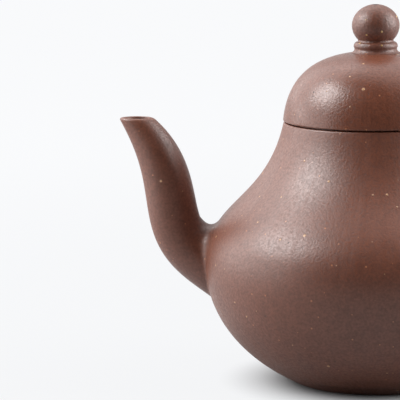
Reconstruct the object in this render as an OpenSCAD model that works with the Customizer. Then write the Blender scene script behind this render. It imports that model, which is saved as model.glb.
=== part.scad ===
// Pear-shaped clay teapot: slab-built body, luted spout and ear handle, and a lift-off lid with a ball knob.
// The pot stands on z = 0 with its axis on Z. The spout points to -X and the handle to +X.

/* [Body] */
// Radius of the foot, where the belly leaves the table
foot_r = 18.9; // [15:0.1:23]
// Angle at which the belly leaves the table, from the horizontal
foot_rise = 24.6; // [18:0.1:32]
// Pull of the belly's curve at the foot
foot_pull = 16.3; // [11:0.1:20]
// Largest radius of the belly
belly_r = 39.8; // [36:0.05:46]
// Height of the belly's widest level
belly_z = 27.5; // [24:0.1:31]
// Pull of the belly's curve below its widest level
belly_pull_low = 10; // [7:0.1:13]
// Pull of the belly's curve above its widest level
belly_pull_high = 14.6; // [11:0.1:18]
// Radius of the rim, where the lid meets the neck
rim_r = 21.35; // [19:0.05:24]
// Height of the rim
rim_z = 60.8; // [56:0.1:68]
// Lean of the neck at the rim, from the vertical
rim_lean = 12.3; // [8:0.1:17]
// Pull of the neck's curve at the rim
rim_pull = 19.7; // [15:0.1:24]
// Thickness of the body's wall
wall = 2.8; // [2.2:0.1:3.6]

/* [Base] */
// Thickness of the base disc
base_t = 2.6; // [2:0.1:3.4]
// Width of the flat ring that the pot stands on
foot_ring_w = 2.6; // [1.6:0.1:4]
// Depth of the hollow pressed into the base
base_hollow = 1.6; // [0.8:0.1:2.4]

/* [Mouth] */
// Thickness of the ring luted inside the mouth, at the rim
mouth_ring_t = 1.5; // [1:0.1:2.2]
// Depth of the mouth ring's bore
mouth_ring_h = 7; // [5:0.1:9]
// Height of the slope under the mouth ring
mouth_ring_slope = 3; // [1.5:0.1:4]
// Bevel on the edges that meet at the seam of rim and lid
seam_bevel = 0.35; // [0.15:0.05:0.6]

/* [Lid] */
// Overhang of the lid's edge beyond the rim
lid_overhang = 0.2; // [0:0.05:0.6]
// Height of the lid's crown above the rim
lid_h = 16.25; // [13:0.05:20]
// Lean of the lid's side at its edge, from the vertical
lid_lean = 5.5; // [2:0.1:11]
// Pull of the lid's curve at its edge
lid_pull = 12.5; // [10:0.1:15.5]
// Pull of the lid's curve at its crown
crown_pull = 12; // [8:0.1:14]
// Thickness of the lid's dome
lid_wall = 2.6; // [2:0.1:3.2]
// Depth of the lid's collar below the rim
collar_depth = 8; // [5:0.1:11]
// Thickness of the lid's collar
collar_t = 2.2; // [1.6:0.1:3]
// Height of the collar's root inside the dome
collar_root_h = 4; // [2.5:0.1:6]
// Radial clearance of the collar in the mouth ring
lid_clearance = 0.3; // [0.15:0.05:0.6]

/* [Knob] */
// Radius of the knob's ball at its widest
knob_r = 5.5; // [4.6:0.05:6.5]
// Half height of the knob's ball, which is pressed a little flat
knob_half_h = 4.9; // [4.2:0.05:6]
// Radius of the ball's cut face and of the neck under it
knob_neck_r = 4.1; // [3.4:0.05:4.5]
// Height of the neck under the ball
knob_neck_h = 0.55; // [0.3:0.05:0.9]
// Height of the shoulder from the neck out to the bead
knob_shoulder_h = 0.65; // [0.3:0.05:0.9]
// Radius of the bead, the widest level of the knob's collar
knob_collar_r = 5.1; // [4.7:0.05:6]
// Height of the bead
knob_bead_h = 0.6; // [0.4:0.05:0.9]
// Depth of the hollow band under the bead
knob_band_depth = 0.1; // [0.05:0.05:0.4]
// Flare of the knob's collar where it meets the lid
knob_flare = 0.55; // [0.2:0.05:0.8]
// Height of the knob's collar above the lid's crown
knob_collar_h = 2.7; // [2.4:0.05:3.4]
// Radius of the vent bored through knob and lid
vent_r = 0.9; // [0.6:0.05:1.3]

/* [Spout] */
// Height of the spout's axis inside the wall
spout_root_z = 25.7; // [23.5:0.1:28]
// Depth below the belly's surface at which the spout's axis starts
spout_root_in = 3.7; // [3:0.1:5]
// Rise of the spout's axis at its root, from the horizontal
spout_root_rise = 29; // [22:0.5:36]
// Pull of the spout's axis at its root
spout_root_pull = 10.8; // [8:0.1:13]
// Reach of the spout's bend beyond the belly
spout_bend_out = 11.1; // [9:0.1:14]
// Height of the spout's bend above its root
spout_bend_up = 10; // [8:0.1:13]
// Reach of the spout's tip beyond the belly
spout_tip_out = 16; // [13:0.1:20]
// Height of the spout's tip above the rim
spout_tip_up = 0.8; // [-1:0.1:3]
// Rise of the spout's axis at its tip, from the horizontal
spout_tip_rise = 50.7; // [44:0.1:60]
// Pull of the spout's axis at its tip
spout_tip_pull = 19.3; // [16:0.1:22]
// Half height of the spout at its root
spout_root_r = 6.7; // [6.2:0.05:7.6]
// Half width of the spout at its root
spout_root_half_w = 6.3; // [5.9:0.05:7.2]
// Radius of the spout at its waist
spout_waist_r = 5.8; // [5.2:0.05:6.6]
// Radius of the spout at its tip
spout_tip_r = 3.1; // [2.7:0.05:3.8]
// Wall of the spout at its root
spout_wall = 2.1; // [1.7:0.05:2.5]
// Wall of the spout at its lip
spout_lip = 1; // [0.8:0.05:1.3]
// Rounding of the spout's lip
spout_lip_round = 0.4; // [0.2:0.05:0.6]
// Fillet over the spout's root
spout_fillet_top = 5.6; // [3:0.1:7]
// Fillet under the spout's root
spout_fillet_bottom = 0.7; // [0.5:0.1:1.5]

/* [Strainer] */
// Outer radius of the strainer's dome
strainer_r = 7.6; // [6.8:0.1:9]
// Thickness of the strainer's dome
strainer_t = 1.5; // [1.1:0.1:2]
// Radius of each strainer hole
strainer_hole_r = 0.75; // [0.5:0.05:0.9]
// Angle between the rings of strainer holes
strainer_pitch = 25; // [22:0.5:28]

/* [Handle] */
// Height of the handle's top above the rim
handle_top_up = 0.8; // [-2:0.1:4]
// Distance of the handle's top inside the belly's widest radius
handle_top_in = 1; // [-2:0.1:4]
// Reach of the handle beyond the belly
handle_out = 16; // [14:0.1:20]
// Height of the handle's outermost point above the belly's widest level
handle_widest_up = 16.5; // [13:0.1:20]
// Drop of the handle's upper root below the rim
handle_high_drop = 12.5; // [11:0.1:15]
// Rise of the handle at its upper root, from the horizontal
handle_high_rise = 32; // [24:0.5:40]
// Pull of the handle's axis at its upper root
handle_high_pull = 6; // [4:0.1:8]
// Drop of the handle's lower root below the belly's widest level
handle_low_drop = 4.5; // [2:0.1:7]
// Fall of the handle towards its lower root, from the horizontal
handle_low_fall = 34; // [26:0.5:42]
// Pull of the handle's axis at its lower root
handle_low_pull = 12; // [9:0.1:15]
// Half thickness of the handle at its upper root
handle_high_t = 4; // [3.4:0.05:4.6]
// Half thickness of the handle at its lower root
handle_low_t = 2.9; // [2.5:0.05:3.4]
// Half width of the handle for each unit of half thickness
handle_flatness = 1.1; // [1:0.05:1.3]
// Fillet round each root of the handle
handle_fillet = 1.6; // [1:0.1:2.5]

/* [Hidden] */
$fn = 96;

// Clay tones: burnished outside, unpolished inside
clay = [0.40, 0.25, 0.22];
raw_clay = [0.45, 0.30, 0.26];

// Film of slip between a luted root and the wall, in the thickness of a hair
slip_film = 0.03;
// Steps along each curve of an outline
outline_steps = 18;
// Overlap of a cutter past the face that it cuts
past = 1;
// Share of a quarter circle's radius that pulls its curve round
quarter_pull = 0.5523;

// Curves
function unit(v) = v / norm(v);
function mix(a, b, k) = a * (1 - k) + b * k;
function bezier(p, t) =
    len(p) == 1 ? p[0] : bezier([for (i = [0 : len(p) - 2]) mix(p[i], p[i + 1], t)], t);
function slope(p, t) =
    (len(p) - 1) * bezier([for (i = [0 : len(p) - 2]) p[i + 1] - p[i]], t);
function curve(p, first = 0) =
    [for (i = [first : outline_steps]) bezier(p, i / outline_steps)];
function inset_curve(p, depth, first = 0) =
    [for (i = [first : outline_steps])
        let (t = i / outline_steps, s = unit(slope(p, t)))
        bezier(p, t) + depth * [-s[1], s[0]]];
function backwards(list) = [for (i = [len(list) - 1 : -1 : 0]) list[i]];
function by_height(outline) = [for (p = outline) [p[1], p[0]]];
// The stretch of an outline between two levels, with its ends cut at those levels
function between(outline, low, high) =
    concat([[lookup(low, by_height(outline)), low]],
           [for (p = outline) if (p[1] > low && p[1] < high) p],
           [[lookup(high, by_height(outline)), high]]);

// Body outline: foot to belly, then belly to rim
belly_low = [[foot_r, 0],
             [foot_r + foot_pull * cos(foot_rise), foot_pull * sin(foot_rise)],
             [belly_r, belly_z - belly_pull_low],
             [belly_r, belly_z]];
belly_high = [[belly_r, belly_z],
              [belly_r, belly_z + belly_pull_high],
              [rim_r + rim_pull * sin(rim_lean), rim_z - rim_pull * cos(rim_lean)],
              [rim_r, rim_z]];
body_outside = concat(curve(belly_low), curve(belly_high, 1));
body_inside = concat(inset_curve(belly_low, wall), inset_curve(belly_high, wall, 1));
body_room = concat(inset_curve(belly_low, wall + slip_film),
                   inset_curve(belly_high, wall + slip_film, 1));
function outside_r(z) = lookup(z, by_height(body_outside));
function inside_r(z) = lookup(z, by_height(body_inside));

// Mouth and lid
mouth_r = inside_r(rim_z) - mouth_ring_t;
collar_r = mouth_r - lid_clearance;
lid_r = rim_r + lid_overhang;
crown_z = rim_z + lid_h;
lid_curve = [[lid_r, rim_z],
             [lid_r - lid_pull * sin(lid_lean), rim_z + lid_pull * cos(lid_lean)],
             [crown_pull, crown_z],
             [0, crown_z]];
lid_outside = curve(lid_curve);
lid_inside = inset_curve(lid_curve, lid_wall);
function lid_outside_z(r) = lookup(r, backwards(lid_outside));
function lid_inside_r(z) = lookup(z, by_height(lid_inside));

// Knob
knob_seat_z = crown_z + knob_collar_h;
knob_cut = -acos(knob_neck_r / knob_r);
knob_z = knob_seat_z - knob_half_h * sin(knob_cut);

// Spout: its axis is one curve in the plane y = 0, seen with u outwards from the pot's axis and v up
spout_root = [outside_r(spout_root_z) - spout_root_in, spout_root_z];
spout_tip = [belly_r + spout_tip_out, rim_z + spout_tip_up];
spout_axis = [spout_root,
              spout_root + spout_root_pull * [cos(spout_root_rise), sin(spout_root_rise)],
              [belly_r + spout_bend_out, spout_root_z + spout_bend_up],
              spout_tip - spout_tip_pull * [cos(spout_tip_rise), sin(spout_tip_rise)],
              spout_tip];
spout_sides = 40;
spout_rings = 24;
// How fast the root narrows to the waist, and how late the waist narrows to the tip
root_taper = 6;
tip_taper = 7;
// Where along the axis the section starts to turn level for the flat lip
level_from = 0.6;
// Where along the axis the lip's rounding starts
lip_from = 1 - spout_lip_round / norm(slope(spout_axis, 1));
lip_rings = 6;
// How fast the fillet over the root fades towards the sides
fillet_fade = 3;
function smooth(k) = k * k * (3 - 2 * k);
function spout_level(t) = smooth(max(0, (t - level_from) / (1 - level_from)));
function spout_rise(t) = let (s = slope(spout_axis, t)) atan2(s[1], s[0]);
function spout_taper(root, t) =
    spout_waist_r + (root - spout_waist_r) * pow(1 - t, root_taper)
    - (spout_waist_r - spout_tip_r) * pow(t, tip_taper);
function spout_wall_at(t) = mix(spout_wall, spout_lip, t);
// A point of the spout's skin, a depth of wall below its surface
function spout_point(t, turn, depth) =
    let (lean = spout_rise(t) - 90,
         section = lean * (1 - spout_level(t)),
         half_h = (spout_taper(spout_root_r, t) - depth) / cos(section - lean),
         half_w = spout_taper(spout_root_half_w, t) - depth,
         p = bezier(spout_axis, t) + half_h * cos(turn) * [cos(section), sin(section)])
    [-p[0], half_w * sin(turn), p[1]];
function spout_centre(t) = let (p = bezier(spout_axis, t)) [-p[0], 0, p[1]];

// Handle: three curves from its upper root over its top and round its outermost point to its lower root
handle_high_z = rim_z - handle_high_drop;
handle_low_z = belly_z - handle_low_drop;
handle_top_t = mix(handle_high_t, handle_low_t, 1 / 3);
handle_side_t = mix(handle_high_t, handle_low_t, 2 / 3);
handle_top = [belly_r - handle_top_in, rim_z + handle_top_up - handle_top_t];
handle_side = [belly_r + handle_out - handle_side_t, belly_z + handle_widest_up];
handle_high = [outside_r(handle_high_z) - wall, handle_high_z];
handle_low = [outside_r(handle_low_z) - wall, handle_low_z];
handle_span = handle_side - handle_top;
handle_axis = [
    [handle_high,
     handle_high + handle_high_pull * [cos(handle_high_rise), sin(handle_high_rise)],
     handle_top - [handle_high_pull, 0],
     handle_top],
    [handle_top,
     handle_top + [quarter_pull * handle_span[0], 0],
     handle_side - [0, quarter_pull * handle_span[1]],
     handle_side],
    [handle_side,
     handle_side + [0, quarter_pull * handle_span[1]],
     handle_low + handle_low_pull * [cos(handle_low_fall), sin(handle_low_fall)],
     handle_low]];
handle_sides = 24;
handle_rings = 44;
function handle_curve(t) = handle_axis[min(2, floor(3 * t))];
function handle_local(t) = 3 * t - min(2, floor(3 * t));
function handle_centre(t) =
    let (p = bezier(handle_curve(t), handle_local(t))) [p[0], 0, p[1]];
function handle_point(t, turn) =
    let (s = unit(slope(handle_curve(t), handle_local(t))),
         half_t = mix(handle_high_t, handle_low_t, t),
         p = bezier(handle_curve(t), handle_local(t)) + half_t * cos(turn) * [-s[1], s[0]])
    [p[0], handle_flatness * half_t * sin(turn), p[1]];

// Luted roots: where a swept skin meets the body, and the fillet of clay round it
fillet_rings = 5;
seat_rings = 3;
search_steps = 24;
nudge = 0.002;
function flat_r(p) = norm([p[0], p[1]]);
function on_body(p) =
    let (k = (outside_r(p[2]) + slip_film) / flat_r(p)) [p[0] * k, p[1] * k, p[2]];
function in_body(p) = flat_r(p) < outside_r(p[2]) + slip_film;
// Parameter at which a line of the skin leaves the body, searched between a value inside and one outside
function leaves_body(line, inner, outer, n = search_steps) =
    n == 0 ? (inner + outer) / 2
    : let (m = (inner + outer) / 2)
      in_body(line(m)) ? leaves_body(line, m, outer, n - 1) : leaves_body(line, inner, m, n - 1);
// Parameter a length of skin further along the line, towards the side where way points
function along(line, t, way, length) = t + way * nudge * length / norm(line(t + way * nudge) - line(t));
// Foot of the fillet on the body, away from the sweep's own centre
function fillet_foot(corner, centre, length) = on_body(corner + length * unit(corner - centre));

// Skins: rings of points become the faces of one closed solid
function band_faces(rings, sides, closed) =
    [for (i = [0 : rings - (closed ? 1 : 2)], j = [0 : sides - 1])
        let (a = i * sides + j,
             b = i * sides + (j + 1) % sides,
             c = ((i + 1) % rings) * sides + j,
             d = ((i + 1) % rings) * sides + (j + 1) % sides)
        each [[a, b, d], [a, d, c]]];
function all_points(rings) = [for (ring = rings) each ring];

module ring_solid(outline) {
    rotate_extrude() polygon(outline);
}

module vent() {
    translate([0, 0, rim_z]) cylinder(r = vent_r, h = knob_z + knob_half_h + past - rim_z);
}

// Body
module spout_inlet() {
    translate([-spout_root[0], 0, spout_root[1]])
        rotate([0, spout_root_rise - 90, 0])
        translate([0, 0, -strainer_r])
        cylinder(r = spout_root_half_w - spout_wall, h = 2 * strainer_r);
}

module body_wall() {
    outside = between(body_outside, base_t, rim_z - seam_bevel);
    inside = between(body_inside, base_t, rim_z);
    color(clay) difference() {
        ring_solid(concat(outside, [[rim_r - seam_bevel, rim_z]], backwards(inside)));
        spout_inlet();
    }
}

module base_disc() {
    hollow_r = foot_r - foot_ring_w;
    room_r = inside_r(base_t);
    steps = outline_steps;
    underside = [for (i = [0 : steps]) [hollow_r * i / steps, base_hollow * (1 - pow(i / steps, 2))]];
    floor_top = [for (i = [steps : -1 : 0])
        [room_r * i / steps, base_t + base_hollow * (1 - pow(i / steps, 2))]];
    color(clay) ring_solid(concat(underside, between(body_outside, 0, base_t), floor_top));
}

module mouth_ring() {
    low = rim_z - mouth_ring_h - mouth_ring_slope;
    against_wall = between(body_inside, low, rim_z);
    color(raw_clay)
        ring_solid(concat(against_wall, [[mouth_r, rim_z], [mouth_r, rim_z - mouth_ring_h]]));
}

// Spout
module spout() {
    turns = [for (j = [0 : spout_sides - 1]) 360 * j / spout_sides];
    outer_lines = [for (turn = turns) function (t) spout_point(t, turn, 0)];
    bore_lines = [for (turn = turns) function (t) spout_point(t, turn, spout_wall_at(t))];
    fillets = [for (turn = turns)
        mix(spout_fillet_bottom, spout_fillet_top, pow(smooth((1 - cos(turn)) / 2), fillet_fade))];
    starts = [for (line = outer_lines) leaves_body(line, 0, 0.5)];
    bore_starts = [for (line = bore_lines) leaves_body(line, 0, 0.5)];
    ends = [for (j = [0 : spout_sides - 1]) along(outer_lines[j], starts[j], 1, fillets[j])];
    corners = [for (j = [0 : spout_sides - 1]) outer_lines[j](starts[j])];
    feet = [for (j = [0 : spout_sides - 1]) fillet_foot(corners[j], spout_centre(starts[j]), fillets[j])];
    bore_feet = [for (j = [0 : spout_sides - 1]) on_body(bore_lines[j](bore_starts[j]))];
    fillet = [for (i = [0 : fillet_rings - 1])
        [for (j = [0 : spout_sides - 1])
            bezier([feet[j], corners[j], outer_lines[j](ends[j])], i / fillet_rings)]];
    skin = [for (i = [0 : spout_rings - 1])
        [for (j = [0 : spout_sides - 1]) outer_lines[j](mix(ends[j], lip_from, i / spout_rings))]];
    lip = [for (i = [0 : lip_rings])
        let (half_turn = 180 * i / lip_rings, t = mix(lip_from, 1, sin(half_turn)))
        [for (turn = turns) spout_point(t, turn, spout_wall_at(t) * (1 - cos(half_turn)) / 2)]];
    bore = [for (i = [spout_rings - 1 : -1 : 1])
        [for (j = [0 : spout_sides - 1]) bore_lines[j](mix(bore_starts[j], lip_from, i / spout_rings))]];
    seat = [for (i = [0 : seat_rings - 1])
        [for (j = [0 : spout_sides - 1]) on_body(mix(bore_feet[j], feet[j], i / seat_rings))]];
    rings = concat(fillet, skin, lip, bore, seat);
    color(clay) polyhedron(all_points(rings), band_faces(len(rings), spout_sides, true));
}

// Strainer: a pierced dome over the spout's inlet, inside the wall
module strainer_place() {
    reach = spout_root[0] - (wall - spout_root_in) / cos(spout_root_rise);
    translate([-reach, 0, spout_root_z - (wall - spout_root_in) * tan(spout_root_rise)])
        rotate([0, spout_root_rise + 90, 0])
        children();
}

module spout_strainer() {
    low = spout_root_z - strainer_r - wall;
    high = spout_root_z + strainer_r + wall;
    color(raw_clay) difference() {
        intersection() {
            strainer_place() difference() {
                sphere(strainer_r);
                sphere(strainer_r - strainer_t);
            }
            ring_solid(concat([[0, low]], between(body_room, low, high), [[0, high]]));
        }
        strainer_place()
            for (ring = [0 : 2], k = [0 : max(0, 6 * ring - 1)])
                rotate([0, strainer_pitch * ring, 60 * k / max(1, ring)])
                translate([0, 0, strainer_r - strainer_t - past])
                cylinder(r = strainer_hole_r, h = strainer_t + 2 * past);
    }
}

// Handle
module handle() {
    turns = [for (j = [0 : handle_sides - 1]) 360 * j / handle_sides];
    lines = [for (turn = turns) function (t) handle_point(t, turn)];
    high = [for (line = lines) leaves_body(line, 0, 0.3)];
    low = [for (line = lines) leaves_body(line, 1, 0.7)];
    high_end = [for (j = [0 : handle_sides - 1]) along(lines[j], high[j], 1, handle_fillet)];
    low_end = [for (j = [0 : handle_sides - 1]) along(lines[j], low[j], -1, handle_fillet)];
    high_corner = [for (j = [0 : handle_sides - 1]) lines[j](high[j])];
    low_corner = [for (j = [0 : handle_sides - 1]) lines[j](low[j])];
    high_foot = [for (j = [0 : handle_sides - 1])
        fillet_foot(high_corner[j], handle_centre(high[j]), handle_fillet)];
    low_foot = [for (j = [0 : handle_sides - 1])
        fillet_foot(low_corner[j], handle_centre(low[j]), handle_fillet)];
    high_middle = on_body(handle_centre(leaves_body(function (t) handle_centre(t), 0, 0.3)));
    low_middle = on_body(handle_centre(leaves_body(function (t) handle_centre(t), 1, 0.7)));
    high_seat = [for (i = [1 : seat_rings])
        [for (p = high_foot) on_body(mix(high_middle, p, i / seat_rings))]];
    low_seat = [for (i = [seat_rings : -1 : 1])
        [for (p = low_foot) on_body(mix(low_middle, p, i / seat_rings))]];
    high_fillet = [for (i = [1 : fillet_rings - 1])
        [for (j = [0 : handle_sides - 1])
            bezier([high_foot[j], high_corner[j], lines[j](high_end[j])], i / fillet_rings)]];
    low_fillet = [for (i = [fillet_rings - 1 : -1 : 1])
        [for (j = [0 : handle_sides - 1])
            bezier([low_foot[j], low_corner[j], lines[j](low_end[j])], i / fillet_rings)]];
    skin = [for (i = [0 : handle_rings])
        [for (j = [0 : handle_sides - 1]) lines[j](mix(high_end[j], low_end[j], i / handle_rings))]];
    rings = concat(high_seat, high_fillet, skin, low_fillet, low_seat);
    count = len(rings) * handle_sides;
    last = count - handle_sides;
    caps = [for (j = [0 : handle_sides - 1])
        let (k = (j + 1) % handle_sides)
        each [[count, k, j], [count + 1, last + j, last + k]]];
    color(clay) polyhedron(concat(all_points(rings), [high_middle, low_middle]),
                           concat(band_faces(len(rings), handle_sides, false), caps));
}

// Lid
module lid_dome() {
    outside = between(lid_outside, rim_z + seam_bevel, crown_z);
    inside = between(lid_inside, rim_z, crown_z - lid_wall);
    color(clay) difference() {
        ring_solid(concat([[lid_r - seam_bevel, rim_z]], outside, backwards(inside)));
        vent();
    }
}

module lid_collar() {
    bore = collar_r - collar_t;
    foot = rim_z - collar_depth;
    under_dome = between(lid_inside, rim_z, rim_z + collar_root_h);
    color(raw_clay)
        ring_solid(concat([[bore, foot], [collar_r - seam_bevel, foot], [collar_r, foot + seam_bevel],
                           [collar_r, rim_z]],
                          under_dome, [[bore, rim_z]]));
}

// Knob
module knob_collar() {
    seat_r = knob_collar_r + knob_flare;
    on_lid = [for (p = lid_outside) if (p[0] < seat_r && p[0] > 0) p];
    band_r = knob_collar_r - knob_band_depth;
    band_low = lid_outside_z(seat_r) + knob_flare;
    neck_low = knob_seat_z - knob_neck_h;
    bead_high = neck_low - knob_shoulder_h;
    bead_low = bead_high - knob_bead_h;
    color(clay) difference() {
        ring_solid(concat(backwards(concat([[seat_r, lid_outside_z(seat_r)]], on_lid, [[0, crown_z]])),
                          [[band_r, band_low], [band_r, bead_low - knob_band_depth],
                           [knob_collar_r, bead_low], [knob_collar_r, bead_high],
                           [knob_neck_r, neck_low], [knob_neck_r, knob_seat_z], [0, knob_seat_z]]));
        vent();
    }
}

module knob_ball() {
    angles = [for (i = [0 : outline_steps]) mix(knob_cut, 90, i / outline_steps)];
    ball = [for (angle = angles) [knob_r * cos(angle), knob_z + knob_half_h * sin(angle)]];
    color(clay) difference() {
        ring_solid(concat([[0, knob_seat_z]], ball));
        vent();
    }
}

body_wall();
base_disc();
mouth_ring();
spout();
spout_strainer();
handle();
lid_dome();
lid_collar();
knob_collar();
knob_ball();
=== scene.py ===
# %% [markdown]
# # A pear-shaped clay teapot
# The pot is slab-built from purple-brown stoneware clay and burnished by hand, then fired without a glaze.
# Its packed model gives the frame: ten clay pieces on two bodies, the pot and the lid that lifts off it.
# Everything here is placed in that frame, in metres, so no piece needs fitting afterwards.

# %% Load the packed model
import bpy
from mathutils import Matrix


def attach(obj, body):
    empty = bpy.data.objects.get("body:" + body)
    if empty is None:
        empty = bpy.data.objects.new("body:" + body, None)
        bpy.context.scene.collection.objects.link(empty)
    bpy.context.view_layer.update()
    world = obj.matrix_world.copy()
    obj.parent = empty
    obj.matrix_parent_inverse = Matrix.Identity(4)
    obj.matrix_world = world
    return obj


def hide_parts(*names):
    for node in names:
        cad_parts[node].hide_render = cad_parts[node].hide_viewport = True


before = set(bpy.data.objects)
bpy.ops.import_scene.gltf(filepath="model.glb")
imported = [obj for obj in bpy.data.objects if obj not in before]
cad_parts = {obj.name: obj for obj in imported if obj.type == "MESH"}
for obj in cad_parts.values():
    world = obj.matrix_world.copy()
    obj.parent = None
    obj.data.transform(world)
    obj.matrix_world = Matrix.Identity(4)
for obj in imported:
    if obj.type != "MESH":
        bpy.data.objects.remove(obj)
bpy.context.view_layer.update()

# %% Tools and units
import math

import bmesh
import bpy
from mathutils import Matrix, Vector

MM = 0.001

# %% [markdown]
# ## Camera
# The photograph looks slightly down on the pot with a long lens, and the pot's axis is near the right edge.
# A camera could be aimed with a Track To constraint, but three plain turns say more: yaw to the left, pitch
# down and a hair of roll. The focal length is counted in pixels of the 400 pixel frame.

# %% Camera
IMAGE_PX = 400
FOCAL_PX = 2598
SENSOR_W = 36
EYE = Vector((0, -600, 133.1)) * MM
YAW = 0.0683
PITCH = 0.1499
ROLL = -0.0101


def make_camera():
    lens = bpy.data.cameras.new("photo_camera")
    lens.sensor_width = SENSOR_W
    lens.lens = FOCAL_PX / IMAGE_PX * SENSOR_W
    camera = bpy.data.objects.new("photo_camera", lens)
    aim = (Matrix.Rotation(YAW, 4, "Z")
           @ Matrix.Rotation(math.pi / 2 - PITCH, 4, "X")
           @ Matrix.Rotation(ROLL, 4, "Z"))
    camera.matrix_world = Matrix.Translation(EYE) @ aim
    bpy.context.scene.collection.objects.link(camera)
    bpy.context.scene.camera = camera
    return lens.lens


bpy.context.scene.view_settings.view_transform = "Standard"
print("Focal length in mm:", round(make_camera(), 1))

# %% [markdown]
# ## Shader sums in plain Python
# Node trees grow fast when each addition is a node placed by hand. One small class holds an output socket
# and turns + - and * into Math nodes, so a pattern reads like a formula. Its node method adds any other
# node: the settings go in first, because some of them change which sockets the node has.

# %% A wire in a node tree


class Wire:
    """One output of a shader node; sums on it add Math nodes to the same tree."""

    def __init__(self, tree, socket=None):
        self.tree = tree
        self.socket = socket

    def node(self, kind, settings, sockets, out=0):
        made = self.tree.nodes.new("ShaderNode" + kind)
        for name, value in settings.items():
            setattr(made, name, value)
        for name, value in sockets.items():
            if isinstance(value, Wire):
                self.tree.links.new(value.socket, made.inputs[name])
            else:
                made.inputs[name].default_value = value
        return Wire(self.tree, made.outputs[out] if made.outputs else None)

    def other(self, out):
        return Wire(self.tree, self.socket.node.outputs[out])

    def math(self, operation, *values):
        return self.node("Math", {"operation": operation}, dict(enumerate(values)))

    def __add__(self, value):
        return self.math("ADD", self, value)

    def __sub__(self, value):
        return self.math("SUBTRACT", self, value)

    def __rsub__(self, value):
        return self.math("SUBTRACT", value, self)

    def __mul__(self, value):
        return self.math("MULTIPLY", self, value)

    __radd__ = __add__
    __rmul__ = __mul__

    def larger(self, value):
        return self.math("MAXIMUM", self, value)

    def step(self, low, high):
        """0 below low, 1 above high and a soft slope between them."""
        limits = {"From Min": low, "From Max": high}
        return self.node("MapRange", {"interpolation_type": "SMOOTHSTEP"}, {"Value": self, **limits})

    def tint(self, low, high):
        """A colour between two, by this wire's value."""
        return self.node("Mix", {"data_type": "RGBA"}, {0: self, 6: low, 7: high}, out=2)

    def vector(self, operation, value):
        return self.node("VectorMath", {"operation": operation}, {0: self, 1: value})


print("Wire methods:", [name for name in vars(Wire) if not name.startswith("_")])

# %% [markdown]
# ## Floor
# The floor is a wide pale disc, which isn't part of the object. A white floor this close to the lamps
# would burn out, so its diffuse part is grey, and rays that look at it see mostly a flat glow just under
# white. Fades by distance, in metres, shape that glow, and they are painted shade. The glow dies away at
# the foot, a painted shadow for the dark line that the pot stands on, and it grows a little brighter out
# to about half a metre. What the clay mirrors of it starts under the belly's edge and ends just in front
# of the pot: a painted shade in the clay's reflections, which keeps the pot's underside and front deep
# brown.

# %% Floor
FLOOR_R = 6
FLOOR_SIDES = 96
FLOOR_COLOUR = (0.35, 0.355, 0.36, 1)
GLOW_COLOUR = (0.965, 0.973, 0.988, 1)
# The fades below paint shade into the floor's glow: a shadow round the foot and a darker floor in the clay's
# reflections.
NEAR_SHADE = (0.018, 0.038)
FAR_SHADE = (0.080, 0.450)
MIRROR_SHADE = (0.025, 0.070)
MIRROR_FRONT_SHADE = (-0.06, 0.00)
GLOW_NEAR = 0.90
GLOW_FAR = 0.08


def make_floor():
    material = bpy.data.materials.new("pale_floor")
    material.use_nodes = True
    material.node_tree.nodes.clear()
    start = Wire(material.node_tree)
    place = start.node("TexCoord", {}, {}, out="Object")
    away = place.node("VectorMath", {"operation": "LENGTH"}, {0: place}, out="Value")
    ray = start.node("LightPath", {}, {}, out="Is Camera Ray")
    # Painted shadow: the glow that rays look at fades towards the foot.
    looked_at = ray.larger(ray.other("Is Transmission Ray")) * away.step(*NEAR_SHADE)
    # Painted shade in reflections: what the clay mirrors fades under the pot and in front of it.
    outside_front_shade = start.node("SeparateXYZ", {}, {0: place}, out="Y").step(*MIRROR_FRONT_SHADE)
    mirrored = ray.other("Is Glossy Ray") * away.step(*MIRROR_SHADE) * outside_front_shade
    share = looked_at.larger(mirrored) * (away.step(*FAR_SHADE) * GLOW_FAR + GLOW_NEAR)
    matte = start.node("BsdfDiffuse", {}, {"Color": FLOOR_COLOUR})
    glow = start.node("Emission", {}, {"Color": GLOW_COLOUR, "Strength": 1})
    mixed = start.node("MixShader", {}, {0: share, 1: matte, 2: glow})
    start.node("OutputMaterial", {}, {"Surface": mixed})
    bm = bmesh.new()
    bmesh.ops.create_circle(bm, cap_ends=True, segments=FLOOR_SIDES, radius=FLOOR_R)
    mesh = bpy.data.meshes.new("floor")
    bm.to_mesh(mesh)
    bm.free()
    mesh.materials.append(material)
    floor = bpy.data.objects.new("floor", mesh)
    bpy.context.scene.collection.objects.link(floor)
    return FLOOR_R


print("Floor radius in m:", make_floor())

# %% [markdown]
# ## Backdrop
# The pot stands in a small white tent that is open to a dark room on the camera's side. The tent's back is
# the world, whose brightness depends on the direction. It could light the pot too, but lamps are easier to
# balance, so only rays that look at it or mirror it see it: camera and transmission rays as plain white,
# and glossy rays as a wall that starts beside the pot and is brightest behind it.

# %% Backdrop
BACK_LEVEL = 0.82
BACKDROP_FROM = 0.0
BACKDROP_TO = 0.75
BACKDROP_WHITE = 0.96
BACKDROP_COLOUR = (0.985, 0.99, 1, 1)


def make_backdrop():
    world = bpy.data.worlds.new("studio_tent")
    bpy.context.scene.world = world
    world.use_nodes = True
    world.node_tree.nodes.clear()
    start = Wire(world.node_tree)
    way = start.node("TexCoord", {}, {}, out="Generated")
    behind = start.node("SeparateXYZ", {}, {0: way}, out="Y").step(BACKDROP_FROM, BACKDROP_TO)
    ray = start.node("LightPath", {}, {}, out="Is Camera Ray")
    looked_at = ray.larger(ray.other("Is Transmission Ray")) * BACKDROP_WHITE
    level = looked_at.larger(ray.other("Is Glossy Ray") * behind * BACK_LEVEL)
    light = start.node("Background", {}, {"Color": BACKDROP_COLOUR, "Strength": level})
    start.node("OutputWorld", {}, {"Surface": light})


make_backdrop()
print("Backdrop seen at:", BACKDROP_WHITE, "and in the sheen at:", BACK_LEVEL)

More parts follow.
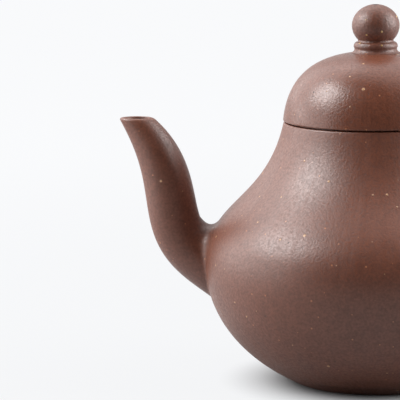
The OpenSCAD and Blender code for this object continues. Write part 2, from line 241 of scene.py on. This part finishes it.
# %% [markdown]
# ## Lamps
# The tent's lit walls are area lamps about half a metre away, so close that lid and knob get more of their
# light than the belly does; a sun lamp would light all heights alike. Big soft lamps at both sides put a
# sheen on the pot's flanks and leave its front dark. A level of 1 lights a white surface that faces the
# lamp to white, which makes the levels easy to compare.

# %% Lamps
POT_MIDDLE = Vector((0, 0, 45)) * MM
TENT_R = 0.55


def lit_wall(name, turn, rise, size, level):
    """A lit wall of the tent. turn is in degrees from the camera's side, positive to the right."""
    turn, rise = math.radians(turn), math.radians(rise)
    way = Vector((math.sin(turn) * math.cos(rise), -math.cos(turn) * math.cos(rise), math.sin(rise)))
    lamp = bpy.data.lights.new(name, "AREA")
    lamp.shape = "RECTANGLE"
    lamp.size, lamp.size_y = size
    lamp.energy = level * (math.pi * TENT_R) ** 2
    stand = bpy.data.objects.new(name, lamp)
    aim = way.to_track_quat("Z", "Y").to_matrix().to_4x4()
    stand.matrix_world = Matrix.Translation(POT_MIDDLE + TENT_R * way) @ aim
    stand.visible_camera = False
    bpy.context.scene.collection.objects.link(stand)
    print(name, "W:", round(lamp.energy, 2))


lit_wall("left_window", -82, 40, (0.33, 0.28), 0.92)
lit_wall("left_low", -89, 4, (0.70, 0.25), 0.45)
lit_wall("left_back", -122, 36, (0.60, 0.60), 0.59)
lit_wall("right_window", 91, 24, (0.48, 0.54), 1.50)
lit_wall("back_top", 150, 72, (0.60, 0.50), 0.36)

# %% [markdown]
# ## Clay
# The clay fires to a purple-brown with grains of other minerals in it: cream and rust specks, mostly under
# half a millimetre, and tiny pits where a grain fell out, sunk by the bump and painted dark as their shade.
# Burnishing with a horn spatula closes the surface to a satin sheen and leaves faint upright strokes. A
# picture texture would repeat, so the clay is built from noise and cells on Object coordinates, in real
# millimetres, and each piece cut from it matches the next.

# %% Clay patterns
CREAM = (212, 164, 122)
GOLD = (232, 190, 112)
RUST = (206, 136, 94)
# The pit colour is painted shade, the dark that falls inside a pit.
PIT_SHADE = (44, 24, 19)
GRAIN_EDGE = 0.3


def shade(red, green, blue):
    """A colour as the shader needs it, from the 0 to 255 values of the sRGB curve that a screen shows."""
    return (*[((c / 255 + 0.055) / 1.055) ** 2.4 for c in (red, green, blue)], 1)


def blotches(place, size, detail=3):
    """Soft noise whose blotches are about this size, in mm."""
    return place.node("TexNoise", {}, {"Vector": place, "Scale": 1 / (size * MM), "Detail": detail})


def grains(place, spacing, radius, share):
    """Scattered round grains, in mm: a mask of those that reach the surface."""
    cells = place.node("TexVoronoi", {}, {"Vector": place, "Scale": 1 / (spacing * MM)})
    chance = place.node("SeparateColor", {}, {0: cells.other("Color")}, out="Red")
    reach = (chance - (1 - share)) * (radius / spacing / share)
    return (reach - cells).step(0, GRAIN_EDGE * radius / spacing)


def strokes(place, width_count, length):
    """Upright burnishing strokes: noise that is fine round the pot and drawn out along its height, in mm."""
    round_pot = place.vector("MULTIPLY", (1, 1, 0)).vector("NORMALIZE", (0, 0, 0))
    upright = place.vector("MULTIPLY", (0, 0, 1 / (length * MM)))
    drawn = round_pot.vector("MULTIPLY", (width_count, width_count, 0)).vector("ADD", upright)
    return drawn.node("TexNoise", {}, {"Vector": drawn, "Scale": 1, "Detail": 2})


print("Cream grains as light:", [round(c, 2) for c in shade(*CREAM)])

# %% [markdown]
# ## Finishes
# One recipe gives four finishes. The spatula reaches the high spots of the grain first, so these come out
# smoother than the hollows, and one noise drives colour, roughness and bump together. The lid is rubbed
# brighter than the pot. The knob is too small for the spatula and keeps a coarser grain with golden specks.
# The pieces inside stay as the knife cut them. Four materials could be built one by one, but a single
# function keeps them alike. Sizes are in mm, and the shifts only keep one kind of grain from falling on
# another.

# %% Clay recipe
CLOUD = 14
CLOUD_PART = 0.12
MOTTLE = 2.2
MOTTLE_PART = 0.2
PEEL = 0.56
PEEL_PART = 0.58
WOBBLE = 0.35
WOBBLE_REACH = 0.16
GRAIN_GAP = 2.6
GRAIN_R = 0.44
GRAIN_SHARE = 0.5
GRAIN_COVER = 0.85
RUST_GAP = 1.5
RUST_R = 0.26
RUST_SHARE = 0.34
RUST_SHIFT = (0.5, 0.2, 0.7)
RUST_COVER = 0.7
PIT_GAP = 2.6
PIT_R = 0.22
PIT_SHARE = 0.5
PIT_SHIFT = (0.3, 0.9, 0.1)
PIT_SHADE_COVER = 0.8
PIT_DEPTH = 2
STROKES_ROUND = 34
STROKE_LENGTH = 16
STROKE_PART = 0.1
NOISE_MIDDLE = 0.5
TONE_RANGE = (0.30, 0.70)
POLISH_SPREAD = 0.4
STROKE_SPREAD = 0.15


def make_clay(name, slot, dark, light, roughness, gloss, grit,
              stroke_depth=0.01, grain_gap=GRAIN_GAP, grain=CREAM):
    """A clay in two tones for a slot of the record. grit and stroke_depth are heights in mm for the bump."""
    material = bpy.data.materials.new(name)
    material["record_slot"] = slot
    material.use_nodes = True
    tree = material.node_tree
    shader = tree.nodes["Principled BSDF"]
    place = Wire(tree).node("TexCoord", {}, {}, out="Object")
    wobble = blotches(place, WOBBLE, 1).other("Color").vector("MULTIPLY", (WOBBLE_REACH * MM,) * 3)
    uneven = place.vector("ADD", wobble)
    cloud = blotches(place, CLOUD)
    mottle = blotches(place, MOTTLE)
    peel = blotches(place, PEEL)
    cream = grains(uneven, grain_gap, GRAIN_R, GRAIN_SHARE)
    rust = grains(uneven.vector("ADD", RUST_SHIFT), RUST_GAP, RUST_R, RUST_SHARE)
    pits_and_shade = grains(uneven.vector("ADD", PIT_SHIFT), PIT_GAP, PIT_R, PIT_SHARE)
    stroke = strokes(place, STROKES_ROUND, STROKE_LENGTH)
    mixed = cloud * CLOUD_PART + mottle * MOTTLE_PART + peel * PEEL_PART + stroke * STROKE_PART
    tone = mixed.step(*TONE_RANGE)
    colour = tone.tint(shade(*dark), shade(*light))
    colour = (rust * RUST_COVER).tint(colour, shade(*RUST))
    colour = (cream * GRAIN_COVER).tint(colour, shade(*grain))
    # Painted shade: pits are darkened here as well as sunk by the bump.
    colour = (pits_and_shade * PIT_SHADE_COVER).tint(colour, shade(*PIT_SHADE))
    rough = (NOISE_MIDDLE - peel) * POLISH_SPREAD + (stroke - NOISE_MIDDLE) * STROKE_SPREAD + roughness
    height = peel * grit + stroke * stroke_depth + cream * grit - pits_and_shade * (PIT_DEPTH * grit)
    bump = place.node("Bump", {}, {"Height": height, "Distance": MM, "Strength": 1})
    shader.inputs["Specular IOR Level"].default_value = gloss
    for socket, wire in (("Base Color", colour), ("Roughness", rough), ("Normal", bump)):
        tree.links.new(wire.socket, shader.inputs[socket])
    return material


print("Radius of grains, rust and pits in mm, at most:", GRAIN_R, RUST_R, PIT_R)

# %% Four clays
POT_TONES = ((99, 55, 39), (129, 77, 58))
KNOB_TONES = ((90, 50, 36), (122, 72, 54))
RAW_TONES = ((112, 66, 50), (138, 87, 68))
burnished_clay = make_clay("satin_clay", "burnished_clay", *POT_TONES, roughness=0.44, gloss=0.85, grit=0.054)
lid_clay = make_clay("polished_clay", "burnished_clay", *POT_TONES, roughness=0.34, gloss=0.70, grit=0.066)
knob_clay = make_clay("grainy_clay", "burnished_clay", *KNOB_TONES, roughness=0.46, gloss=0.85, grit=0.10,
                      grain_gap=1.7, grain=GOLD)
raw_clay = make_clay("unpolished_clay", "raw_clay", *RAW_TONES, roughness=0.65, gloss=0.50, grit=0.09,
                     stroke_depth=0.02)
print("Clays:", burnished_clay.name, lid_clay.name, knob_clay.name, raw_clay.name)

# %% [markdown]
# ## Turned pieces
# Wall, base, mouth ring, lid and knob are all round, so each is an outline spun about the pot's axis. A
# Screw modifier could turn them too, but bmesh's spin leaves a finished mesh. The outlines are Bezier
# curves through a few sizes that can be read off a ruler: foot, belly, rim, crown. Spin with use_merge
# closes the full turn, doubles on the axis are merged, and the normals are recalculated after that.

# %% Outlines
CURVE_STEPS = 44
CORNER_STEPS = 6
TINY = 1e-9


def bezier(points, share):
    points = [Vector(point) for point in points]
    while len(points) > 1:
        points = [a.lerp(b, share) for a, b in zip(points, points[1:])]
    return points[0]


def curve(points, steps=CURVE_STEPS):
    return [bezier(points, i / steps) for i in range(steps + 1)]


def inset(outline, depth):
    """The outline moved sideways by a depth, to the left of the way it runs."""
    spans = [(outline[min(i + 1, len(outline) - 1)] - outline[max(i - 1, 0)]).normalized()
             for i in range(len(outline))]
    return [point + depth * Vector((-way.y, way.x)) for point, way in zip(outline, spans)]


def at_height(outline, height):
    for low, high in zip(outline, outline[1:]):
        if low.y <= height <= high.y:
            return low.lerp(high, (height - low.y) / max(high.y - low.y, TINY))
    return outline[0] if height < outline[0].y else outline[-1]


def between(outline, low, high):
    """The stretch of a rising outline between two heights."""
    middle = [point for point in outline if low < point.y < high]
    return [at_height(outline, low), *middle, at_height(outline, high)]


def corner(before, tip, after):
    """A rounded corner from one side to the other."""
    return curve([before, tip, after], CORNER_STEPS)


print("Points on a curve:", CURVE_STEPS + 1)

# %% Spin an outline into a piece
TURN_STEPS = 144
DOUBLES_GAP = 0.002
SHARP_ANGLE = math.radians(38)


def add_piece(name, bm, material, node, body):
    """Makes the mesh an object that rides on a body and stands for its CAD node."""
    bmesh.ops.remove_doubles(bm, verts=bm.verts, dist=DOUBLES_GAP * MM)
    bmesh.ops.recalc_face_normals(bm, faces=bm.faces)
    mesh = bpy.data.meshes.new(name)
    bm.to_mesh(mesh)
    bm.free()
    mesh.shade_smooth()
    mesh.set_sharp_from_angle(angle=SHARP_ANGLE)
    mesh.materials.append(material)
    piece = bpy.data.objects.new(name, mesh)
    bpy.context.scene.collection.objects.link(piece)
    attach(piece, body)
    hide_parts(node)
    size = [round(side / MM, 1) for side in piece.dimensions]
    print(name, "faces:", len(mesh.polygons), "size in mm:", size)


def turned(name, outline, material, node, body, closed=False):
    bm = bmesh.new()
    verts = [bm.verts.new((point.x * MM, 0, point.y * MM)) for point in outline]
    pairs = list(zip(verts, verts[1:]))
    if closed:
        pairs.append((verts[-1], verts[0]))
    edges = [bm.edges.new(pair) for pair in pairs]
    bmesh.ops.spin(bm, geom=verts + edges, axis=(0, 0, 1), cent=(0, 0, 0), angle=2 * math.pi,
                   steps=TURN_STEPS, use_merge=True)
    add_piece(name, bm, material, node, body)


print("Steps in a full turn:", TURN_STEPS)

# %% [markdown]
# ## Wall and base
# The wall is one slab paddled into a pear: it leaves the table at a shallow angle, swells to the belly and
# draws in to the rim. The base is a disc luted under it, with a shallow hollow pressed into its underside,
# so that the pot stands on a narrow ring and doesn't rock. Both follow the belly's outline, so no step
# shows between them.

# %% Wall and base
FOOT_R = 18.9
FOOT_RISE = math.radians(24.6)
FOOT_PULL = 16.3
BELLY_R = 39.8
BELLY_Z = 27.5
BELLY_PULL_LOW = 10
BELLY_PULL_HIGH = 14.6
RIM_R = 21.35
RIM_Z = 60.8
RIM_LEAN = math.radians(12.3)
RIM_PULL = 19.7
WALL = 2.8
BASE_T = 2.6
FOOT_RING_W = 2.6
BASE_HOLLOW = 1.6
EDGE_ROUND = 0.4

belly_low = [(FOOT_R, 0), (FOOT_R + FOOT_PULL * math.cos(FOOT_RISE), FOOT_PULL * math.sin(FOOT_RISE)),
             (BELLY_R, BELLY_Z - BELLY_PULL_LOW), (BELLY_R, BELLY_Z)]
belly_high = [(BELLY_R, BELLY_Z), (BELLY_R, BELLY_Z + BELLY_PULL_HIGH),
              (RIM_R + RIM_PULL * math.sin(RIM_LEAN), RIM_Z - RIM_PULL * math.cos(RIM_LEAN)), (RIM_R, RIM_Z)]
body_outside = curve(belly_low) + curve(belly_high)[1:]
body_inside = inset(body_outside, WALL)


def make_wall():
    outside = between(body_outside, BASE_T, RIM_Z - EDGE_ROUND)
    rim = corner(outside[-1], (RIM_R, RIM_Z), (RIM_R - EDGE_ROUND, RIM_Z))
    inside = between(body_inside, BASE_T, RIM_Z)
    turned("pear_wall", outside + rim[1:] + inside[::-1], burnished_clay, "body_wall", "pot", closed=True)


def make_base():
    hollow_r = FOOT_R - FOOT_RING_W
    room_r = at_height(body_inside, BASE_T).x
    dish = [(i / CURVE_STEPS, BASE_HOLLOW * (1 - (i / CURVE_STEPS) ** 2)) for i in range(CURVE_STEPS + 1)]
    underside = [Vector((hollow_r * out, up)) for out, up in dish]
    foot = corner((FOOT_R - EDGE_ROUND, 0), (FOOT_R, 0), at_height(body_outside, EDGE_ROUND / 2))
    outside = between(body_outside, EDGE_ROUND / 2, BASE_T)
    pot_floor = [Vector((room_r * out, BASE_T + up)) for out, up in dish]
    outline = underside + foot + outside[1:] + pot_floor[::-1]
    turned("pressed_base", outline, burnished_clay, "base_disc", "pot")


make_wall()
make_base()

# %% [markdown]
# ## Mouth ring, lid and collar
# The lid is one dome whose side carries on from the neck, so that only a dark hairline shows between them.
# A ring luted inside the mouth widens the rim to a seat, and a collar under the lid drops into it with a
# little play. A flat lid on a flat rim would leave no line at all, so the lid's outer underside is relieved
# by 0.3 mm: that gap holds the shadow, and the rounded edges beside it catch the light.

# %% Mouth ring and lid
MOUTH_RING_T = 1.5
MOUTH_RING_H = 7
MOUTH_RING_SLOPE = 3
MOUTH_RING_ROUND = 1
LID_OVERHANG = 0.2
LID_H = 16.25
LID_LEAN = math.radians(5.5)
LID_PULL = 12.5
CROWN_PULL = 12
LID_WALL = 2.6
COLLAR_DEPTH = 8
COLLAR_T = 2.2
COLLAR_ROOT_H = 4
LID_CLEARANCE = 0.3
SEAM_GAP = 0.3
SEAM_DEPTH = 1.4
VENT_R = 0.9

lid_r = RIM_R + LID_OVERHANG
crown_z = RIM_Z + LID_H
mouth_r = at_height(body_inside, RIM_Z).x - MOUTH_RING_T
collar_r = mouth_r - LID_CLEARANCE
lid_outside = curve([(lid_r, RIM_Z),
                     (lid_r - LID_PULL * math.sin(LID_LEAN), RIM_Z + LID_PULL * math.cos(LID_LEAN)),
                     (CROWN_PULL, crown_z), (0, crown_z)])
lid_inside = inset(lid_outside, LID_WALL)


def down_to_vent(outline):
    """The outline as far as the wall of the vent."""
    kept = [point for point in outline if point.x > VENT_R]
    return [*kept, Vector((VENT_R, outline[-1].y))]


def make_mouth_ring():
    low = RIM_Z - MOUTH_RING_H - MOUTH_RING_SLOPE
    against_wall = between(body_inside, low, RIM_Z)
    lip = corner((mouth_r + EDGE_ROUND, RIM_Z), (mouth_r, RIM_Z), (mouth_r, RIM_Z - EDGE_ROUND))
    bend = RIM_Z - MOUTH_RING_H
    slope = corner((mouth_r, bend + MOUTH_RING_ROUND), (mouth_r, bend), against_wall[0])
    turned("mouth_seat_ring", against_wall + lip + slope[:-1], raw_clay, "mouth_ring", "pot", closed=True)


def make_lid():
    low = RIM_Z + SEAM_GAP
    outside = down_to_vent(between(lid_outside, low + EDGE_ROUND, crown_z))
    seat = [Vector((lid_r - SEAM_DEPTH, RIM_Z)), Vector((lid_r - SEAM_DEPTH, low))]
    edge = corner((lid_r - EDGE_ROUND, low), (lid_r, low), outside[0])
    inside = down_to_vent(between(lid_inside, RIM_Z, crown_z - LID_WALL))
    turned("lid_cap", seat + edge + outside[1:] + inside[::-1], lid_clay, "lid_dome", "lid", closed=True)


def make_lid_collar():
    bore = collar_r - COLLAR_T
    foot = RIM_Z - COLLAR_DEPTH
    inner = corner((bore, foot + EDGE_ROUND), (bore, foot), (bore + EDGE_ROUND, foot))
    outer = corner((collar_r - EDGE_ROUND, foot), (collar_r, foot), (collar_r, foot + EDGE_ROUND))
    under_dome = between(lid_inside, RIM_Z, RIM_Z + COLLAR_ROOT_H)
    root = corner(under_dome[-1], (bore, RIM_Z), (bore, RIM_Z - COLLAR_ROOT_H / 2))
    outline = inner + outer + [Vector((collar_r, RIM_Z))] + under_dome + root[1:]
    turned("lid_skirt", outline, raw_clay, "lid_collar", "lid", closed=True)


make_mouth_ring()
make_lid()
make_lid_collar()

# %% [markdown]
# ## Knob
# A ball, pressed a little flat, on a ridged collar: both are turned from the same clay. From the lid up,
# the collar flares off the dome, hollows into a cove, swells to a bead and steps in over a shoulder to the
# ball's neck. Each of these turns is a short curve, because a hard corner would catch no light. The vent
# goes down through ball and lid.

# %% Knob and its collar
KNOB_R = 5.5
KNOB_HALF_H = 4.9
KNOB_NECK_R = 4.1
KNOB_NECK_H = 0.55
KNOB_SHOULDER_H = 0.65
KNOB_COLLAR_R = 5.1
KNOB_BEAD_H = 0.4
KNOB_COVE_PULL = 0.55
KNOB_COVE_SHARE = 0.4
KNOB_FLARE = 0.55
KNOB_COLLAR_H = 2.7

knob_seat_z = crown_z + KNOB_COLLAR_H
knob_cut = -math.acos(KNOB_NECK_R / KNOB_R)
knob_z = knob_seat_z - KNOB_HALF_H * math.sin(knob_cut)


def make_knob_collar():
    seat_r = KNOB_COLLAR_R + KNOB_FLARE
    ledge_r = (KNOB_NECK_R + KNOB_COLLAR_R) / 2
    on_lid = [point for point in lid_outside if VENT_R < point.x < seat_r]
    lid_z = on_lid[0].y
    neck_low = knob_seat_z - KNOB_NECK_H
    bead_high = neck_low - KNOB_SHOULDER_H
    bead_low = bead_high - KNOB_BEAD_H
    deepest = (KNOB_COLLAR_R - KNOB_COVE_PULL, lid_z + KNOB_COVE_SHARE * (bead_low - lid_z))
    cove = corner((seat_r, lid_z), deepest, (KNOB_COLLAR_R, bead_low))
    bead_tip = (KNOB_COLLAR_R, bead_high + KNOB_SHOULDER_H / 2)
    bead = corner((KNOB_COLLAR_R, bead_low), bead_tip, (ledge_r, neck_low))
    neck = corner((ledge_r, neck_low), (KNOB_NECK_R, neck_low), (KNOB_NECK_R, knob_seat_z))
    seat = [Vector((VENT_R, knob_seat_z)), Vector((VENT_R, crown_z))]
    outline = on_lid[::-1] + cove + bead[1:] + neck[1:] + seat
    turned("knob_ridge", outline, knob_clay, "knob_collar", "lid", closed=True)


def make_knob():
    high = math.acos(VENT_R / KNOB_R)
    angles = [knob_cut + (high - knob_cut) * i / CURVE_STEPS for i in range(CURVE_STEPS + 1)]
    ball = [Vector((KNOB_R * math.cos(a), knob_z + KNOB_HALF_H * math.sin(a))) for a in angles]
    turned("ball_knob", ball + [Vector((VENT_R, knob_seat_z))], knob_clay, "knob_ball", "lid", closed=True)


make_knob_collar()
make_knob()

# %% [markdown]
# ## Spout
# The spout is a slab rolled into a tapering tube, bent while soft and luted to the belly. It swells at its
# root, keeps its width round the bend and narrows late, and its section turns level so that the lip is
# flat. A curve with a bevel object could sweep it, but not seat it: here each line along the tube is
# followed until it meets the belly, and a ring of vertices is extruded from the fillet there to the lip,
# over it and down the bore.

# %% Swept skins
SEARCH_STEPS = 26
NUDGE = 0.002
SUNK = 0.02


def lerp(a, b, share):
    return a + (b - a) * share


def smooth(share):
    return share * share * (3 - 2 * share)


def on_body(point):
    """The point moved level on to the body, a hair below its surface."""
    reach = at_height(body_outside, point.z).x - SUNK
    flat = reach / point.xy.length
    return Vector((point.x * flat, point.y * flat, point.z))


def leaves_body(line, inner, outer):
    """Share along a line at which it comes out of the body."""
    for _ in range(SEARCH_STEPS):
        middle = (inner + outer) / 2
        point = line(middle)
        if point.xy.length < at_height(body_outside, point.z).x:
            inner = middle
        else:
            outer = middle
    return (inner + outer) / 2


def further(line, share, way, length):
    """Share of the line a length of skin further on, where way is 1 or -1."""
    return share + way * NUDGE * length / (line(share + way * NUDGE) - line(share)).length


def extrude_rings(rings):
    """Extrudes a ring of vertices from place to place; each ring is a list of points in mm."""
    bm = bmesh.new()
    ring = bmesh.ops.create_circle(bm, segments=len(rings[0]), radius=1)["verts"]
    for points in rings:
        if points is not rings[0]:
            here = set(ring)
            edges = list({edge for vert in ring for edge in vert.link_edges if edge.other_vert(vert) in here})
            made = bmesh.ops.extrude_edge_only(bm, edges=edges)["geom"]
            fresh = {item for item in made if isinstance(item, bmesh.types.BMVert)}
            ring = [next(e.other_vert(v) for e in v.link_edges if e.other_vert(v) in fresh) for v in ring]
        for vert, point in zip(ring, points):
            vert.co = point * MM
    return bm


print("Skins end under the surface by mm:", SUNK)

# %% Spout sizes and skin
SPOUT_ROOT_Z = 25.7
SPOUT_ROOT_IN = 3.7
SPOUT_ROOT_RISE = math.radians(29)
SPOUT_ROOT_PULL = 10.8
SPOUT_BEND_OUT = 11.1
SPOUT_BEND_UP = 10
SPOUT_TIP_OUT = 16
SPOUT_TIP_UP = 0.95
SPOUT_TIP_RISE = math.radians(50.7)
SPOUT_TIP_PULL = 19.3
SPOUT_ROOT_R = 6.7
SPOUT_ROOT_HALF_W = 6.3
SPOUT_WAIST_R = 5.8
SPOUT_TIP_R = 3.1
SPOUT_WALL = 2.1
SPOUT_LIP = 1.1
SPOUT_LIP_ROUND = 0.7
SPOUT_FILLET_TOP = 5.6
SPOUT_FILLET_BOTTOM = 0.7
ROOT_TAPER = 6
TIP_TAPER = 7
LEVEL_FROM = 0.6
FILLET_FADE = 3

spout_start = Vector((at_height(body_outside, SPOUT_ROOT_Z).x - SPOUT_ROOT_IN, SPOUT_ROOT_Z))
spout_tip = Vector((BELLY_R + SPOUT_TIP_OUT, RIM_Z + SPOUT_TIP_UP))
spout_axis = [spout_start,
              spout_start + SPOUT_ROOT_PULL * Vector((math.cos(SPOUT_ROOT_RISE), math.sin(SPOUT_ROOT_RISE))),
              Vector((BELLY_R + SPOUT_BEND_OUT, SPOUT_ROOT_Z + SPOUT_BEND_UP)),
              spout_tip - SPOUT_TIP_PULL * Vector((math.cos(SPOUT_TIP_RISE), math.sin(SPOUT_TIP_RISE))),
              spout_tip]
spout_steps = [b - a for a, b in zip(spout_axis, spout_axis[1:])]
lip_from = 1 - SPOUT_LIP_ROUND / (len(spout_steps) * SPOUT_TIP_PULL)


def spout_taper(root, share):
    return (SPOUT_WAIST_R + (root - SPOUT_WAIST_R) * (1 - share) ** ROOT_TAPER
            - (SPOUT_WAIST_R - SPOUT_TIP_R) * share ** TIP_TAPER)


def spout_point(share, turn, depth):
    """A point of the spout, a depth of wall below its skin. turn 0 is the side away from the pot."""
    way = bezier(spout_steps, share)
    lean = math.atan2(way.y, way.x) - math.pi / 2
    level = smooth(max(0, (share - LEVEL_FROM) / (1 - LEVEL_FROM)))
    section = lean * (1 - level)
    half_h = (spout_taper(SPOUT_ROOT_R, share) - depth) / math.cos(section - lean)
    half_w = spout_taper(SPOUT_ROOT_HALF_W, share) - depth
    centre = bezier(spout_axis, share)
    across = half_h * math.cos(turn)
    out = centre.x + across * math.cos(section)
    up = centre.y + across * math.sin(section)
    return Vector((-out, half_w * math.sin(turn), up))


def spout_centre(share):
    centre = bezier(spout_axis, share)
    return Vector((-centre.x, 0, centre.y))


print("Spout tip in mm:", [round(value, 1) for value in spout_tip])

# %% Spout
SPOUT_SIDES = 96
SPOUT_RINGS = 64
FILLET_RINGS = 14
LIP_RINGS = 10
SPOUT_SEARCH = 0.5


def spout_root(outer, turns):
    """The fillet round the spout's root, ring by ring from the body out, and where each line leaves it."""
    fades = [smooth((1 - math.cos(turn)) / 2) ** FILLET_FADE for turn in turns]
    fillets = [lerp(SPOUT_FILLET_BOTTOM, SPOUT_FILLET_TOP, fade) for fade in fades]
    starts = [leaves_body(line, 0, SPOUT_SEARCH) for line in outer]
    ends = [further(line, start, 1, fillet) for line, start, fillet in zip(outer, starts, fillets)]
    corners = [line(start) for line, start in zip(outer, starts)]
    feet = [on_body(tip + fillet * (tip - spout_centre(start)).normalized())
            for tip, fillet, start in zip(corners, fillets, starts)]
    skirts = list(zip(feet, corners, [line(end) for line, end in zip(outer, ends)]))
    return [[bezier(skirt, i / FILLET_RINGS) for skirt in skirts] for i in range(FILLET_RINGS)], ends


def lip_ring(turns, half_turn):
    """One ring of the rounded lip, from the skin at no turn to the bore at half a turn."""
    share = lerp(lip_from, 1, math.sin(half_turn))
    depth = lerp(SPOUT_WALL, SPOUT_LIP, share) * (1 - math.cos(half_turn)) / 2
    return [spout_point(share, turn, depth) for turn in turns]


def make_spout():
    turns = [2 * math.pi * j / SPOUT_SIDES for j in range(SPOUT_SIDES)]
    shares = [i / SPOUT_RINGS for i in range(SPOUT_RINGS)]
    outer = [lambda t, a=a: spout_point(t, a, 0) for a in turns]
    bore = [lambda t, a=a: spout_point(t, a, lerp(SPOUT_WALL, SPOUT_LIP, t)) for a in turns]
    root, ends = spout_root(outer, turns)
    inner = [leaves_body(line, 0, SPOUT_SEARCH) for line in bore]
    skin = [[line(lerp(end, lip_from, share)) for line, end in zip(outer, ends)] for share in shares]
    lip = [lip_ring(turns, math.pi * i / LIP_RINGS) for i in range(LIP_RINGS)]
    channel = [[line(lerp(lip_from, start, share)) for line, start in zip(bore, inner)] for share in shares]
    inlet = [on_body(line(start)) for line, start in zip(bore, inner)]
    rings = root + skin + lip + channel + [inlet, root[0]]
    add_piece("pouring_spout", extrude_rings(rings), burnished_clay, "spout", "pot")


make_spout()

# %% [markdown]
# ## Handle
# The handle is a coil tapered between the palms, bent to an ear and luted at both ends. It is thickest at
# the upper root, where the fingers pull. Three curves make its line: up and over from the neck, round the
# outside, and back in to the belly. Its skin is extruded like the spout's, and each end is closed inside
# the body.

# %% Handle
HANDLE_TOP_UP = 0.8
HANDLE_TOP_IN = 1
HANDLE_TOP_SHARE = 1 / 3
HANDLE_OUT = 16
HANDLE_WIDEST_UP = 16.5
HANDLE_SIDE_SHARE = 2 / 3
HANDLE_HIGH_DROP = 12.5
HANDLE_HIGH_RISE = math.radians(32)
HANDLE_HIGH_PULL = 6
HANDLE_LOW_DROP = 4.5
HANDLE_LOW_FALL = math.radians(34)
HANDLE_LOW_PULL = 12
HANDLE_HIGH_T = 4
HANDLE_LOW_T = 2.9
HANDLE_FLATNESS = 1.1
HANDLE_FILLET = 1.6
HANDLE_SIDES = 56
HANDLE_RINGS = 110
HANDLE_SEARCH = 0.3
QUARTER_PULL = 0.5523


def handle_curves():
    top_t = lerp(HANDLE_HIGH_T, HANDLE_LOW_T, HANDLE_TOP_SHARE)
    side_t = lerp(HANDLE_HIGH_T, HANDLE_LOW_T, HANDLE_SIDE_SHARE)
    top = Vector((BELLY_R - HANDLE_TOP_IN, RIM_Z + HANDLE_TOP_UP - top_t))
    side = Vector((BELLY_R + HANDLE_OUT - side_t, BELLY_Z + HANDLE_WIDEST_UP))
    high = at_height(body_outside, RIM_Z - HANDLE_HIGH_DROP) - Vector((WALL, 0))
    low = at_height(body_outside, BELLY_Z - HANDLE_LOW_DROP) - Vector((WALL, 0))
    out, down = QUARTER_PULL * (side.x - top.x), QUARTER_PULL * (side.y - top.y)
    high_way = Vector((math.cos(HANDLE_HIGH_RISE), math.sin(HANDLE_HIGH_RISE)))
    low_way = Vector((math.cos(HANDLE_LOW_FALL), math.sin(HANDLE_LOW_FALL)))
    return [[high, high + HANDLE_HIGH_PULL * high_way, top - Vector((HANDLE_HIGH_PULL, 0)), top],
            [top, top + Vector((out, 0)), side - Vector((0, down)), side],
            [side, side + Vector((0, down)), low + HANDLE_LOW_PULL * low_way, low]]


handle_axis = handle_curves()


def handle_point(share, turn, size=1):
    along = len(handle_axis) * share
    index = min(len(handle_axis) - 1, int(along))
    points, local = handle_axis[index], along - index
    way = bezier([b - a for a, b in zip(points, points[1:])], local).normalized()
    half_t = size * lerp(HANDLE_HIGH_T, HANDLE_LOW_T, share)
    place = bezier(points, local) + half_t * math.cos(turn) * Vector((-way.y, way.x))
    return Vector((place.x, HANDLE_FLATNESS * half_t * math.sin(turn), place.y))


def luted_root(lines, inner, outer, way):
    """The fillet rings of one root, from the body out, and where each line goes on from them."""
    starts = [leaves_body(line, inner, outer) for line in lines]
    ends = [further(line, start, way, HANDLE_FILLET) for line, start in zip(lines, starts)]
    corners = [line(start) for line, start in zip(lines, starts)]
    feet = [on_body(tip + HANDLE_FILLET * (tip - handle_point(start, 0, 0)).normalized())
            for tip, start in zip(corners, starts)]
    skirts = list(zip(feet, corners, [line(end) for line, end in zip(lines, ends)]))
    return [[bezier(skirt, i / FILLET_RINGS) for skirt in skirts] for i in range(FILLET_RINGS)], ends


def make_handle():
    turns = [2 * math.pi * j / HANDLE_SIDES for j in range(HANDLE_SIDES)]
    lines = [lambda t, a=a: handle_point(t, a) for a in turns]
    high_rings, high_ends = luted_root(lines, 0, HANDLE_SEARCH, 1)
    low_rings, low_ends = luted_root(lines, 1, 1 - HANDLE_SEARCH, -1)
    skin = [[line(lerp(high, low, i / HANDLE_RINGS)) for line, high, low in zip(lines, high_ends, low_ends)]
            for i in range(HANDLE_RINGS + 1)]
    bm = extrude_rings(high_rings + skin + low_rings[::-1])
    bmesh.ops.holes_fill(bm, edges=bm.edges, sides=0)
    add_piece("ear_handle", bm, burnished_clay, "handle", "pot")


make_handle()

# %% [markdown]
# ## Strainer
# The pierced dome over the spout's inlet is drilled in the packed model, and its shape is right as it is.
# It could be modelled again, but its holes are true there, so it only takes the unpolished clay of the
# inside.

# %% Strainer
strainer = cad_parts["spout_strainer"]
strainer.data.materials.clear()
strainer.data.materials.append(raw_clay)
print("Strainer material:", strainer.data.materials[0].name)

# %% [markdown]
